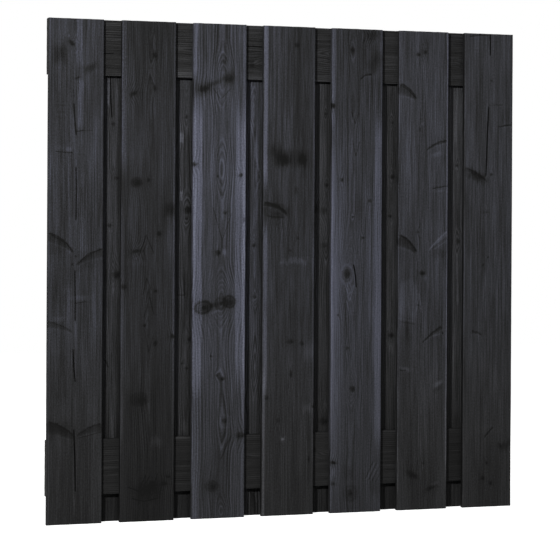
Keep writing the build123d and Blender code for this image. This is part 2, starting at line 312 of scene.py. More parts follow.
RAIL_FIGURES = [
    Figure(38, -5, 16, 7.5, 5, 8.0, 21, [
        Cloud(0, 150, 160, 300, -5, 0), Cloud(0, 1567, 160, 150, -5, 0.2), Swirl(-30, 1130, 40, 110, 2),
        Swirl(20, 640, 40, 120, 2), Knot(8, 178, 10, 8, 16, 1.5), Knot(0, 1110, 14, 12, 14, 2),
        Knot(45, 760, 9, 9, 16, 2), Knot(30, 1640, 15, 12, 18, 2.5), Cloud(88, 520, 24, 150, 12, 0.1),
        Cloud(90, 790, 22, 140, 9, 0.1), Cloud(60, 210, 40, 60, -5, 0),
        Check([(240, 18), (195, 22), (165, 20)], 0.8, 5.0),
        Check([(700, -20), (760, -24), (830, -22)], 0.8, 5.0),
    ], 0.5, 1.0),
    Figure(35, 6, 16, 7.5, 5, 6.0, 14, [
        Cloud(0, 200, 160, 500, -3, 0), Cloud(0, 500, 160, 150, -3, 0.2), Cloud(0, 1033, 160, 150, 3, 0.2),
        Cloud(0, 1567, 160, 150, -5, 0.2), Swirl(10, 960, 40, 110, 2), Knot(-10, 700, 14, 12, 14, 2),
        Knot(20, 1420, 13, 12, 16, 2.5), Knot(-35, 1010, 10, 8, 14, 2), Cloud(-96, 480, 14, 90, 14, 0.2),
        Cloud(-97, 1300, 8, 300, 6, 0.2), Check([(360, -8), (420, -4), (470, -6)], 0.8, 5.0),
    ], 0.2, 1.0),
]


class FenceStain(bpy.types.PropertyGroup):
    """Colours of the stained wood, from the darkest knot to the palest strip."""

    knot: FloatVectorProperty(
        name="Knot", description="Stain over a dark knot", subtype="COLOR",
        size=3, min=0, max=1, default=(0.0060, 0.0060, 0.0059),
    )
    shade: FloatVectorProperty(
        name="Late wood", description="Stain over dark late wood", subtype="COLOR",
        size=3, min=0, max=1, default=(0.0183, 0.0185, 0.0192),
    )
    body: FloatVectorProperty(
        name="Body", description="Stain over the body of a board", subtype="COLOR",
        size=3, min=0, max=1, default=(0.0347, 0.0356, 0.0402),
    )
    strip: FloatVectorProperty(
        name="Pale strip", description="Stain over pale sapwood along an edge", subtype="COLOR",
        size=3, min=0, max=1, default=(0.0968, 0.1008, 0.1290),
    )
    bloom: FloatVectorProperty(
        name="Bloom", description="The palest worn places", subtype="COLOR",
        size=3, min=0, max=1, default=(0.1912, 0.2016, 0.2540),
    )
    roughness: FloatProperty(
        name="Roughness", description="Roughness of the dry stain",
        subtype="FACTOR", min=0, max=1, default=0.66,
    )


class FenceBoards(bpy.types.PropertyGroup):
    """Sizes of the boards' edges and surface."""

    arris: FloatProperty(
        name="Arris", description="Radius of the eased long edges", unit="LENGTH", min=0.0005, max=0.009,
        default=2.5 * MM,
    )
    column: FloatProperty(
        name="Column", description="Width of one strip of the mesh across a board", unit="LENGTH", min=0.002,
        default=5.2 * MM,
    )
    row: FloatProperty(
        name="Row", description="Height of one strip of the mesh along a board", unit="LENGTH", min=0.002,
        default=9.0 * MM,
    )
    cup: FloatProperty(
        name="Unevenness", description="How far a planed face wanders from flat",
        unit="LENGTH", min=0, max=0.002, default=0.5 * MM,
    )
    relief: FloatProperty(
        name="Knot relief", description="How far a knot stands out of the face",
        unit="LENGTH", min=0, max=0.003, default=0.6 * MM,
    )


class FenceScrews(bpy.types.PropertyGroup):
    """Sizes of the countersunk screws."""

    head: FloatProperty(
        name="Head", description="Diameter of the head",
        unit="LENGTH", min=0.004, max=0.012, default=8.0 * MM,
    )
    shank: FloatProperty(
        name="Shank", description="Diameter of the plain shank", unit="LENGTH", min=0.002, max=0.006,
        default=4.0 * MM,
    )
    length: FloatProperty(
        name="Length", description="Length from the head's face to the point", unit="LENGTH", min=0.01,
        default=35.0 * MM,
    )
    sink: FloatProperty(
        name="Sink", description="How far the head lies under the wood",
        unit="LENGTH", min=0, default=0.5 * MM,
    )
    pitch: FloatProperty(
        name="Pitch", description="Rise of the thread in one turn",
        unit="LENGTH", min=0.001, default=2.2 * MM,
    )
    drive: FloatProperty(
        name="Drive", description="Width of the star drive over its points",
        unit="LENGTH", min=0.002, max=0.006, default=3.9 * MM,
    )
    edge_inset: FloatProperty(
        name="Edge inset", description="How far a screw stands in from a board's edge",
        unit="LENGTH", min=0.01, default=40.0 * MM,
    )
    strip_inset: FloatProperty(
        name="Strip inset", description="How far a screw stands in from the strip between two back planks",
        unit="LENGTH", min=0.005, default=13.0 * MM,
    )
    colour: FloatVectorProperty(
        name="Steel", description="Colour of the stainless steel", subtype="COLOR", size=3, min=0, max=1,
        default=(0.56, 0.55, 0.53),
    )


class FenceStage(bpy.types.PropertyGroup):
    """The studio round the panel."""

    floor: FloatVectorProperty(
        name="Floor", description="Colour of the floor and backdrop", subtype="COLOR", size=3, min=0, max=1,
        default=(1.0, 1.0, 1.0),
    )
    key: FloatProperty(name="Key", description="Power of the soft key lamp", unit="POWER", min=0, default=250)
    fill: FloatProperty(
        name="Fill", description="Power of the broad front lamp", unit="POWER", min=0, default=27,
    )
    ambient: FloatProperty(name="Ambient", description="Light from all round", min=0, max=1, default=0.07)
    rear: FloatProperty(
        name="Rear", description="Power of the lamp behind the panel", unit="POWER", min=0, default=130,
    )
    lens: FloatProperty(name="Lens", description="Focal length", unit="CAMERA", min=10, default=129.3)


def new_node(tree, kind, *values, **settings):
    """Add a node, set its options, and link or set its sockets in their order."""
    node = tree.nodes.new(kind)
    for name, value in settings.items():
        setattr(node, name, value)
    for socket, value in zip(node.inputs, values):
        feed(tree, socket, value)
    return node


def feed(tree, socket, value):
    """Link a socket to another one, or set its value."""
    if isinstance(value, bpy.types.NodeSocket):
        tree.links.new(value, socket)
    elif value is not None:
        socket.default_value = value


def empty_tree(owner):
    """The node tree of a material or world, with nothing in it."""
    owner.use_nodes = True
    owner.node_tree.nodes.clear()
    return owner.node_tree


def add_bump(tree, strength, distance, height):
    """A Bump node's normal."""
    bump = tree.nodes.new("ShaderNodeBump")
    feed(tree, bump.inputs["Strength"], strength)
    feed(tree, bump.inputs["Distance"], distance)
    feed(tree, bump.inputs["Height"], height)
    return bump.outputs[0]


def calc(tree, operation, *values):
    """One Math node."""
    return new_node(tree, "ShaderNodeMath", *values, operation=operation).outputs[0]


def vector_calc(tree, operation, *values):
    """One Vector Math node: its vector, or its number for a length."""
    node = new_node(tree, "ShaderNodeVectorMath", *values, operation=operation)
    return node.outputs["Value" if operation == "LENGTH" else "Vector"]


def ease(tree, value, start, end, low=0.0, high=1.0):
    """Smooth step of a value from low at start to high at end."""
    node = new_node(tree, "ShaderNodeMapRange", value, start, end, low, high, interpolation_type="SMOOTHSTEP")
    return node.outputs[0]


def bell(tree, value):
    """Bell curve: 1 at zero, falling off with the square of the value."""
    square = calc(tree, "MULTIPLY", value, value)
    return calc(tree, "POWER", math.e, calc(tree, "MULTIPLY", square, -1.0))


def noise(tree, vector, detail=2.0, roughness=0.5):
    """Noise with a cell of one unit."""
    return new_node(
        tree, "ShaderNodeTexNoise", vector, None, 1.0, detail, roughness, noise_dimensions="3D",
    )


def new_group(name, inputs, outputs):
    """An empty node group with named sockets: floats, or vectors where the name says so."""
    tree = bpy.data.node_groups.new(name, "ShaderNodeTree")
    vectors = ("Place", "Centre", "Size", "Turn", "Rough", "Ragged", "Brushed")
    for direction, labels in (("INPUT", inputs), ("OUTPUT", outputs)):
        for label in labels:
            kind = "NodeSocketVector" if label in vectors else "NodeSocketFloat"
            tree.interface.new_socket(name=label, in_out=direction, socket_type=kind)
    entry = tree.nodes.new("NodeGroupInput")
    leave = tree.nodes.new("NodeGroupOutput")
    return tree, entry.outputs, leave.inputs


def local_place(tree, given):
    """A place seen from a feature: its own centre, turn and size."""
    mapping = new_node(
        tree, "ShaderNodeMapping", given["Place"], given["Centre"], given["Turn"], given["Size"],
        vector_type="TEXTURE",
    )
    return mapping.outputs[0]


def make_grain_group():
    """Year rings round a wandering pith, streaks, flecks and fibres, ragged places for the marks, and where
    painted shade falls on the sides.
    """
    tree, given, out = new_group(
        "Board grain", ["Place", "Pith", "Depth", "Ring", "Wander", "Seed"],
        ["Rings", "Streaks", "Flecks", "Fibres", "Patches", "Inside", "Rough", "Ragged", "Brushed"],
    )
    axis = new_node(tree, "ShaderNodeSeparateXYZ", given["Place"]).outputs
    seed = new_node(tree, "ShaderNodeCombineXYZ", given["Seed"], given["Seed"], given["Seed"]).outputs[0]

    def swing(scale, detail=2.0, roughness=0.5):
        """Noise about zero at a scale in cells per millimetre."""
        place = vector_calc(tree, "MULTIPLY_ADD", given["Place"], scale, seed)
        return calc(tree, "SUBTRACT", noise(tree, place, detail, roughness).outputs[0], 0.5)

    slow = vector_calc(tree, "MULTIPLY_ADD", given["Place"], (0.0, 0.0, 0.0022), seed)
    drift = new_node(tree, "ShaderNodeSeparateColor", noise(tree, slow, 1.0).outputs["Color"]).outputs
    wander = calc(tree, "MULTIPLY", given["Wander"], 4.0)
    sway = calc(tree, "MULTIPLY", calc(tree, "SUBTRACT", drift[0], 0.5), wander)
    dive = calc(tree, "MULTIPLY", calc(tree, "SUBTRACT", drift[1], 0.5), wander)
    across = calc(tree, "ADD", calc(tree, "SUBTRACT", axis[0], given["Pith"]), sway)
    under = calc(tree, "ADD", calc(tree, "ADD", axis[1], given["Depth"]), dive)
    radius = vector_calc(tree, "LENGTH", new_node(tree, "ShaderNodeCombineXYZ", across, under).outputs[0])
    radius = calc(tree, "MULTIPLY_ADD", swing((0.02, 0.02, 0.006)), 10.0, radius)
    radius = calc(tree, "MULTIPLY_ADD", swing((0.06, 0.06, 0.016)), 4.0, radius)
    even = calc(tree, "DIVIDE", radius, given["Ring"])
    growth = calc(tree, "MULTIPLY", even, 0.55)
    growth = new_node(tree, "ShaderNodeCombineXYZ", growth, given["Seed"]).outputs[0]
    tree.links.new(calc(tree, "MULTIPLY_ADD", noise(tree, growth, 1.0).outputs[0], 1.4, even), out["Rings"])

    bands = swing((0.04, 0.04, 0.003), 2.0, 0.55)
    streaks = calc(tree, "MULTIPLY_ADD", swing((0.13, 0.13, 0.005), 3.0, 0.7), 2.2, bands)
    tree.links.new(streaks, out["Streaks"])
    tree.links.new(calc(tree, "MULTIPLY", swing((0.2, 0.2, 0.15), 2.0, 0.6), 2.0), out["Flecks"])
    tree.links.new(swing((1.1, 1.1, 0.03)), out["Fibres"])
    tree.links.new(ease(tree, swing((0.013, 0.013, 0.004), 1.0), -0.15, 0.15, 0.45, 1.55), out["Patches"])

    lumps = vector_calc(tree, "MULTIPLY_ADD", given["Place"], (0.1, 0.1, 0.1), seed)
    lumps = vector_calc(tree, "SUBTRACT", noise(tree, lumps, 2.0, 0.6).outputs["Color"], (0.5, 0.5, 0.5))
    rough = vector_calc(tree, "MULTIPLY_ADD", lumps, (9.0, 0.0, 9.0), given["Place"])
    tree.links.new(rough, out["Rough"])
    brush = new_node(tree, "ShaderNodeCombineXYZ", 0.0, 0.0, swing((0.15, 0.15, 0.004), 2.0, 0.6)).outputs[0]
    ragged = vector_calc(tree, "MULTIPLY_ADD", lumps, (3.0, 0.0, 3.0), given["Place"])
    tree.links.new(ragged, out["Ragged"])
    tree.links.new(vector_calc(tree, "MULTIPLY_ADD", brush, (0.0, 0.0, 60.0), ragged), out["Brushed"])

    # Painted shade: a mask over the side faces, ends and check walls, away from the front and back faces
    below = calc(tree, "SUBTRACT", 10.0, calc(tree, "ABSOLUTE", axis[1]))
    tree.links.new(ease(tree, below, 0.8, 3.5), out["Inside"])
    return tree


def make_swirl_group():
    """Year rings drawn into ovals round a place."""
    tree, given, out = new_group(
        "Grain swirl", ["Place", "Centre", "Size", "Turn", "Pull", "Rings"], ["Rings"],
    )
    reach = bell(tree, vector_calc(tree, "LENGTH", local_place(tree, given)))
    pulled = calc(tree, "MULTIPLY", given["Pull"], reach)
    tree.links.new(calc(tree, "SUBTRACT", given["Rings"], pulled), out["Rings"])
    return tree


def make_knot_group():
    """A dark knot with its own rings, a rim and the grain drawn round it."""
    tree, given, out = new_group(
        "Knot", ["Place", "Centre", "Size", "Turn", "Dark", "Pull", "Hollow", "Rings", "Tone"],
        ["Rings", "Tone"],
    )
    local = local_place(tree, given)
    wide = vector_calc(tree, "MULTIPLY", local, (0.45, 0.0, 0.28))
    pulled = calc(tree, "MULTIPLY", given["Pull"], bell(tree, vector_calc(tree, "LENGTH", wide)))
    tree.links.new(calc(tree, "SUBTRACT", given["Rings"], pulled), out["Rings"])
    distance = vector_calc(tree, "LENGTH", local)
    core = ease(tree, distance, 0.45, 1.2, 1.0, 0.0)
    growth = calc(tree, "SINE", calc(tree, "MULTIPLY", distance, 15.0))
    growth = calc(tree, "MULTIPLY_ADD", growth, 0.16, 0.66)
    halo = bell(tree, calc(tree, "MULTIPLY", distance, 0.6))
    rim = bell(tree, calc(tree, "MULTIPLY", calc(tree, "SUBTRACT", distance, 0.95), 5.0))
    heart = vector_calc(tree, "LENGTH", vector_calc(tree, "SUBTRACT", local, (0.3, 0.0, -0.15)))
    heart = bell(tree, calc(tree, "MULTIPLY", heart, 1.9))
    core = calc(tree, "MULTIPLY", core, calc(tree, "MULTIPLY_ADD", given["Hollow"], -0.6, 1.0))
    shade = calc(tree, "MULTIPLY_ADD", heart, 0.4, calc(tree, "MULTIPLY", core, growth))
    shade = calc(tree, "MULTIPLY_ADD", halo, 0.28, shade)
    rim = calc(tree, "MULTIPLY", rim, calc(tree, "MULTIPLY_ADD", given["Hollow"], 0.5, 0.15))
    shade = calc(tree, "ADD", rim, shade)
    shade = calc(tree, "MULTIPLY", given["Dark"], shade)
    tree.links.new(calc(tree, "SUBTRACT", given["Tone"], shade), out["Tone"])
    return tree


def make_spike_group():
    """A knot cut lengthwise: a wedge, darkest along its upper edge, with a soft lower one."""
    tree, given, out = new_group(
        "Spike knot", ["Place", "Centre", "Size", "Turn", "Root", "Tip", "Bow", "Dark", "Tone"], ["Tone"],
    )
    axis = new_node(tree, "ShaderNodeSeparateXYZ", local_place(tree, given)).outputs
    along = axis[0]
    bulge = calc(tree, "MULTIPLY", calc(tree, "MULTIPLY", along, calc(tree, "SUBTRACT", 1.0, along)), 4.0)
    height = calc(tree, "SUBTRACT", axis[2], calc(tree, "MULTIPLY", bulge, given["Bow"]))
    spread = calc(tree, "SUBTRACT", given["Tip"], given["Root"])
    width = calc(tree, "MULTIPLY_ADD", spread, along, given["Root"])
    width = calc(tree, "MAXIMUM", width, 0.8)
    level = calc(tree, "DIVIDE", height, width)
    body = calc(tree, "MULTIPLY", ease(tree, level, -1.4, -0.2), ease(tree, level, 0.9, 1.25, 1.0, 0.0))
    body = calc(tree, "MULTIPLY", body, ease(tree, level, -0.3, 0.9, 0.7, 1.0))
    upper = bell(tree, calc(tree, "MULTIPLY", calc(tree, "SUBTRACT", height, width), 0.3))
    lower = bell(tree, calc(tree, "MULTIPLY", calc(tree, "MULTIPLY_ADD", width, 1.2, height), 0.25))
    shade = calc(tree, "MULTIPLY_ADD", upper, 0.7, body)
    shade = calc(tree, "MULTIPLY_ADD", lower, -0.25, shade)
    ends = calc(tree, "MULTIPLY", ease(tree, along, -0.03, 0.08), ease(tree, along, 0.95, 1.03, 1.0, 0.0))
    shade = calc(tree, "MULTIPLY", calc(tree, "MULTIPLY", shade, ends), given["Dark"])
    tree.links.new(calc(tree, "SUBTRACT", given["Tone"], shade), out["Tone"])
    return tree


def make_cloud_group():
    """A paler or darker place with soft edges."""
    tree, given, out = new_group(
        "Cloud", ["Place", "Centre", "Size", "Turn", "Gain", "Edge", "Tone"], ["Tone"],
    )
    local = local_place(tree, given)
    square = vector_calc(tree, "MULTIPLY", local, local)
    spread = calc(tree, "SQRT", vector_calc(tree, "LENGTH", square))
    inside = ease(tree, spread, given["Edge"], 1.0, 1.0, 0.0)
    tree.links.new(calc(tree, "MULTIPLY_ADD", inside, given["Gain"], given["Tone"]), out["Tone"])
    return tree


def make_strip_group():
    """A paler or darker strip of wood along the board, flecked, with a crisp edge on each side."""
    tree, given, out = new_group(
        "Wood strip",
        ["Place", "Across", "Half", "Soft", "Low", "High", "Fade", "Gain", "Speckle", "Flecks", "Tone"],
        ["Tone"],
    )
    axis = new_node(tree, "ShaderNodeSeparateXYZ", given["Place"]).outputs
    away = calc(tree, "ABSOLUTE", calc(tree, "SUBTRACT", axis[0], given["Across"]))
    inner = calc(tree, "SUBTRACT", given["Half"], given["Soft"])
    inside = ease(tree, away, inner, calc(tree, "ADD", given["Half"], given["Soft"]), 1.0, 0.0)
    above = calc(tree, "SUBTRACT", axis[2], given["Low"])
    inside = calc(tree, "MULTIPLY", inside, ease(tree, above, 0.0, given["Fade"]))
    below = calc(tree, "SUBTRACT", given["High"], axis[2])
    inside = calc(tree, "MULTIPLY", inside, ease(tree, below, 0.0, given["Fade"]))
    flecked = calc(tree, "MULTIPLY", given["Flecks"], calc(tree, "MULTIPLY", given["Speckle"], 4.0))
    inside = calc(tree, "MULTIPLY", inside, calc(tree, "MAXIMUM", calc(tree, "ADD", flecked, 1.0), 0.0))
    tree.links.new(calc(tree, "MULTIPLY_ADD", inside, given["Gain"], given["Tone"]), out["Tone"])
    return tree


def make_line_group():
    """A thin dark line between two places."""
    tree, given, out = new_group(
        "Crack line", ["Place", "Centre", "Size", "Turn", "Half", "Dark", "Tone"], ["Tone"],
    )
    axis = new_node(tree, "ShaderNodeSeparateXYZ", local_place(tree, given)).outputs
    height = calc(tree, "ABSOLUTE", axis[2])
    edge = calc(tree, "ADD", given["Half"], 1.0)
    body = ease(tree, height, calc(tree, "MULTIPLY", given["Half"], 0.6), edge, 1.0, 0.0)
    ends = calc(tree, "MULTIPLY", ease(tree, axis[0], -0.05, 0.08), ease(tree, axis[0], 0.92, 1.05, 1.0, 0.0))
    shade = calc(tree, "MULTIPLY", calc(tree, "MULTIPLY", body, ends), given["Dark"])
    tree.links.new(calc(tree, "SUBTRACT", given["Tone"], shade), out["Tone"])
    return tree


def make_ring_group():
    """One year ring: a pale line of early wood, then a dark late one, each ring a little different."""
    tree, given, out = new_group("Year ring", ["Rings"], ["Late", "Early"])
    phase = calc(tree, "FRACT", given["Rings"])
    chance = new_node(
        tree, "ShaderNodeTexWhiteNoise", None, calc(tree, "FLOOR", given["Rings"]), noise_dimensions="1D",
    ).outputs[0]
    late = calc(tree, "MULTIPLY", ease(tree, phase, 0.45, 0.75), ease(tree, phase, 0.85, 1.0, 1.0, 0.0))
    tree.links.new(calc(tree, "MULTIPLY", late, calc(tree, "ADD", chance, 0.5)), out["Late"])
    early = calc(tree, "MULTIPLY", ease(tree, phase, 0.0, 0.15), ease(tree, phase, 0.2, 0.45, 1.0, 0.0))
    tree.links.new(calc(tree, "MULTIPLY", early, calc(tree, "SUBTRACT", 1.4, chance)), out["Early"])
    return tree


MARK_GROUPS = {
    Swirl: "Grain swirl", Knot: "Knot", Spike: "Spike knot", Cloud: "Cloud", Strip: "Wood strip",
    Line: "Crack line",
}


def wood_groups():
    """The node groups that every board's material shares, made once."""
    makers = {
        "Board grain": make_grain_group, "Grain swirl": make_swirl_group, "Knot": make_knot_group,
        "Spike knot": make_spike_group, "Cloud": make_cloud_group, "Wood strip": make_strip_group,
        "Crack line": make_line_group, "Year ring": make_ring_group,
    }
    return {name: bpy.data.node_groups.get(name) or maker() for name, maker in makers.items()}


def use_group(tree, group, **values):
    """Place a node group, with its sockets linked or set by name."""
    node = tree.nodes.new("ShaderNodeGroup")
    node.node_tree = group
    for name, value in values.items():
        feed(tree, node.inputs[name], value)
    return node.outputs


def check_shade_lines(figure):
    """Painted shade: dark lines along a board's checks, wider than their opening."""
    lines = []
    for mark in figure.features:
        if type(mark) is Check:
            for (up, across), (to_up, to_across) in zip(mark.path, mark.path[1:]):
                lines.append(Line(across, up, to_across, to_up, mark.opening + 0.5, CHECK_SHADE))
    return lines


def seat(mark):
    """Where a mark's own frame lies on the board: the sockets of its group."""
    if type(mark) in (Spike, Line):
        run = Vector((mark.to_across - mark.across, mark.to_up - mark.up))
        size = (run.length, 1000, -1 if run.x < 0 else 1)
        turn = math.atan2(-run.y, run.x)
    else:
        size = (mark.wide, mark.deep if type(mark) is Cloud else 1000, mark.high)
        turn = -math.radians(mark.turn)
    return {"Centre": (mark.across, -10, mark.up), "Size": size, "Turn": (0, turn, 0)}


def add_mark(tree, mark, place, values):
    """Place the node group of one mark, which takes the values it needs and puts back those it changes."""
    fields = {name.title(): value for name, value in mark._asdict().items()}
    if type(mark) is Strip:
        fields["Fade"] = min(150.0, 0.15 * (mark.high - mark.low))
    else:
        fields.update(seat(mark))
    node = tree.nodes.new("ShaderNodeGroup")
    node.node_tree = wood_groups()[MARK_GROUPS[type(mark)]]
    for name, socket in node.inputs.items():
        feed(tree, socket, {"Place": place, **fields, **values}[name])
    values.update(node.outputs.items())


def stained_wood(name, figure, seed, offset, turn):
    """Black-stained softwood of one board. An offset in mm and a turn give the place of its figure."""
    stain = bpy.context.scene.fence_stain
    groups = wood_groups()
    material = bpy.data.materials.new(name)
    tree = empty_tree(material)
    object_place = tree.nodes.new("ShaderNodeTexCoord").outputs["Object"]
    mapping = new_node(tree, "ShaderNodeMapping", object_place, offset, turn, (1000, 1000, 1000))
    place = mapping.outputs[0]
    grain = use_group(
        tree, groups["Board grain"], Place=place, Pith=figure.pith, Depth=figure.depth, Ring=figure.ring,
        Wander=figure.wander, Seed=seed,
    )
    up = new_node(tree, "ShaderNodeSeparateXYZ", place).outputs[2]
    streaks = calc(tree, "MULTIPLY", grain["Streaks"], ease(tree, up, 0.0, FOOT_REACH, figure.foot, 1.0))
    tone = calc(tree, "MULTIPLY_ADD", streaks, figure.streak, figure.tone)
    tone = calc(tree, "MULTIPLY_ADD", grain["Flecks"], 0.55 * figure.streak, tone)
    values = {"Tone": tone, "Rings": grain["Rings"], "Flecks": grain["Flecks"]}
    for mark in figure.features:
        kind = type(mark)
        if kind is Strip or (kind is Cloud and min(mark.wide, mark.high) >= 15):
            add_mark(tree, mark, grain["Brushed"], values)
        elif kind in (Knot, Spike):
            add_mark(tree, mark, grain["Rough"], values)
        elif kind is not Check:
            add_mark(tree, mark, grain["Ragged"], values)
    year = use_group(tree, groups["Year ring"], Rings=values["Rings"])
    ring_tone = calc(tree, "SUBTRACT", calc(tree, "MULTIPLY", year["Early"], 0.9), year["Late"])
    ring_tone = calc(tree, "MULTIPLY", ring_tone, grain["Patches"])
    tone = calc(tree, "MULTIPLY_ADD", ring_tone, figure.contrast, values["Tone"])
    values["Tone"] = calc(tree, "MULTIPLY_ADD", grain["Fibres"], 14.0, tone)
    # Painted shade along the checks
    for line in check_shade_lines(figure):
        add_mark(tree, line, place, values)
    # Painted shade darkens the side faces, ends and check walls
    tone = calc(tree, "MULTIPLY_ADD", grain["Inside"], -26.0, values["Tone"])
    level = calc(tree, "DIVIDE", tone, RAMP_END)

    ramp = tree.nodes.new("ShaderNodeValToRGB")
    stops = [(18, stain.knot), (37, stain.shade), (53, stain.body), (90, stain.strip), (125, stain.bloom)]
    colours = ramp.color_ramp.elements
    while len(colours) < len(stops):
        colours.new(0.5)
    for stop, (grey, colour) in zip(colours, stops):
        stop.position = grey / RAMP_END
        stop.color = (*colour, 1.0)
    feed(tree, ramp.inputs[0], level)
    blue = ease(tree, up, 0.0, FOOT_REACH, figure.cool * figure.blue, figure.blue)
    colour = new_node(tree, "ShaderNodeHueSaturation", None, blue, None, None, ramp.outputs[0]).outputs[0]

    ridge = calc(tree, "MULTIPLY_ADD", year["Late"], 0.10, calc(tree, "MULTIPLY", grain["Streaks"], 0.22))
    ridge = calc(tree, "MULTIPLY_ADD", grain["Fibres"], 0.10, ridge)
    normal = add_bump(tree, 0.8, MM, ridge)

    shader = tree.nodes.new("ShaderNodeBsdfPrincipled")
    feed(tree, shader.inputs["Base Color"], colour)
    dull = calc(tree, "MULTIPLY_ADD", grain["Streaks"], 0.12, stain.roughness)
    feed(tree, shader.inputs["Roughness"], dull)
    feed(tree, shader.inputs["Specular IOR Level"], 0.05)
    feed(tree, shader.inputs["Normal"], normal)
    new_node(tree, "ShaderNodeOutputMaterial", shader.outputs[0])
    return material


def mesh_of(form, name):
    """Turn a bmesh into a mesh, and let go of it."""
    mesh = bpy.data.meshes.new(name)
    form.to_mesh(mesh)
    form.free()
    return mesh


def only(items, kind):
    """The items that are of one bmesh kind."""
    return [item for item in items if isinstance(item, kind)]


def add_object(name, data):
    """A new object in the scene."""
    made = bpy.data.objects.new(name, data)
    bpy.context.scene.collection.objects.link(made)
    return made


def columns_of(figure, half, step):
    """Where a board's mesh is cut lengthwise, with finer strips along its checks."""
    count = max(2, round(2 * half / step))
    cuts = [-half + 2 * half * i / count for i in range(1, count)]
    for middle in check_lines(figure):
        cuts = [cut for cut in cuts if abs(cut - middle) > CHECK_ROOM] + [middle]
        cuts += [middle + side * strip for strip in CHECK_STRIPS for side in (-1, 1)]
    return sorted(cuts)


def checks_of(figure):
    """A board's checks, each with the middle of its path."""
    checks = [mark for mark in figure.features if type(mark) is Check]
    return [(mark, sum(across for up, across in mark.path) / len(mark.path)) for mark in checks]


def check_lines(figure):
    """The straight lines that a board's checks are bent from: checks close to one line share it."""
    lines = []
    for mark, middle in checks_of(figure):
        if all(abs(round(middle, 1) - line) > CHECK_SHARE for line in lines):
            lines.append(round(middle, 1))
    return lines


def open_checks(figure, across, depth, up, face):
    """Bend the mesh's fine strips along the checks, open each into a groove, and return across and depth."""
    start = across.copy()
    on_face = face > 0.99
    for line in check_lines(figure):
        marks = [mark for mark, middle in checks_of(figure) if abs(middle - line) <= CHECK_SHARE]
        points = sorted(point for mark in marks for point in mark.path)
        heights = [point[0] for point in points]
        bends = [point[1] for point in points]
        bend = np.interp(up, heights, bends) - line
        near = np.clip(1 - (np.abs(start - line) / CHECK_BEND) ** 2, 0, 1) ** 2
        across += bend * near
        for mark in marks:
            ends = sorted(point[0] for point in mark.path)
            run = np.clip((up - ends[0]) / (ends[-1] - ends[0]), 0, 1)
            gape = np.sqrt(np.sin(np.pi * run).clip(0))
            for side in (-1, 1):
                lip = np.abs(start - line - side) < 0.01
                across += np.where(lip, side * (mark.opening * gape - 0.75 * (gape > 0)), 0) * on_face
            root = (np.abs(start - line) < 0.01) & on_face
            depth += np.where(root, mark.depth * gape, 0)
    return across, depth


def relief_of(figure, across, up):
    """How far the front face stands out at its knots, in knot heights."""
    height = np.zeros_like(across)
    for mark in figure.features:
        if type(mark) is Knot and mark.dark > 15:
            far = np.hypot((across - mark.across) / mark.wide, (up - mark.up) / mark.high)
            height += np.exp(-((far - 0.2) / 0.9) ** 2) - 0.5 * np.exp(-((far - 1.3) / 0.35) ** 2)
    return height


def board_mesh(name, figure, size, seed):
    """A board with eased long edges: width on X, thickness on Y with the front at -Y, and the foot at Z 0."""
    boards = bpy.context.scene.fence_boards
    wide, thick, tall = size
    form = bmesh.new()
    bmesh.ops.create_cube(form, size=1.0)
    bmesh.ops.scale(form, vec=size, verts=form.verts)
    bmesh.ops.translate(form, vec=(0, 0, tall / 2), verts=form.verts)
    edges = [edge for edge in form.edges if abs(edge.verts[0].co.z - edge.verts[1].co.z) > tall / 2]
    bmesh.ops.bevel(
        form, geom=edges, offset=boards.arris, segments=4, profile=0.5, affect="EDGES", material=-1,
    )
    flat = (wide / 2 - boards.arris) / MM
    for cut in columns_of(figure, flat, boards.column / MM):
        parts = form.verts[:] + form.edges[:] + form.faces[:]
        bmesh.ops.bisect_plane(form, geom=parts, plane_co=(cut * MM, 0, 0), plane_no=(1, 0, 0))
    edges = [edge for edge in form.edges if abs(edge.verts[0].co.z - edge.verts[1].co.z) > tall / 2]
    bmesh.ops.subdivide_edges(form, edges=edges, cuts=round(tall / boards.row) - 1, use_grid_fill=True)

    points = np.array([vert.co for vert in form.verts]) / MM
    across, depth, up = points.T.copy()
    half = thick / MM / 2
    arris = boards.arris / MM
    front = np.clip((-depth - half + arris) / arris, 0, 1)
    chance = random.Random(seed)
    spans = ((150, 700), (60, 260), (0, 6.28))
    waves = [tuple(chance.uniform(*span) for span in spans) for i in range(WAVE_COUNT)]
    uneven = sum(np.sin(FULL_TURN * (up / a + across / b) + c) for a, b, c in waves) / len(waves)
    ends = np.clip(np.minimum(up, tall / MM - up) / END_FADE, 0, 1)
    depth = depth + front * np.abs(uneven) * boards.cup / MM * ends
    depth = depth - front * relief_of(figure, across, up) * boards.relief / MM * ends
    depth = np.maximum(depth, -half - MOST_RELIEF)
    sway = sum(np.sin(FULL_TURN * up / (a * 0.6) + c) for a, b, c in waves) / len(waves)
    across = across - np.sign(across) * (np.abs(across) / (wide / MM / 2)) ** 6 * np.abs(sway) * 0.4
    saw = 0.5 + 0.5 * np.sin(across / 23 + waves[0][2]) * np.cos(across / 7.3 + waves[1][2])
    up = np.where(up < 0.01, up + 0.5 * saw, up)
    up = np.where(up > tall / MM - 0.01, up - 0.5 * saw, up)
    across, depth = open_checks(figure, across, depth, up, front)
    for vert, place in zip(form.verts, np.stack([across, depth, up], 1) * MM):
        vert.co = place
    bmesh.ops.recalc_face_normals(form, faces=form.faces)
    mesh = mesh_of(form, name)
    mesh.shade_smooth()
    mesh.set_sharp_from_angle(angle=WOOD_SHARP)
    return mesh


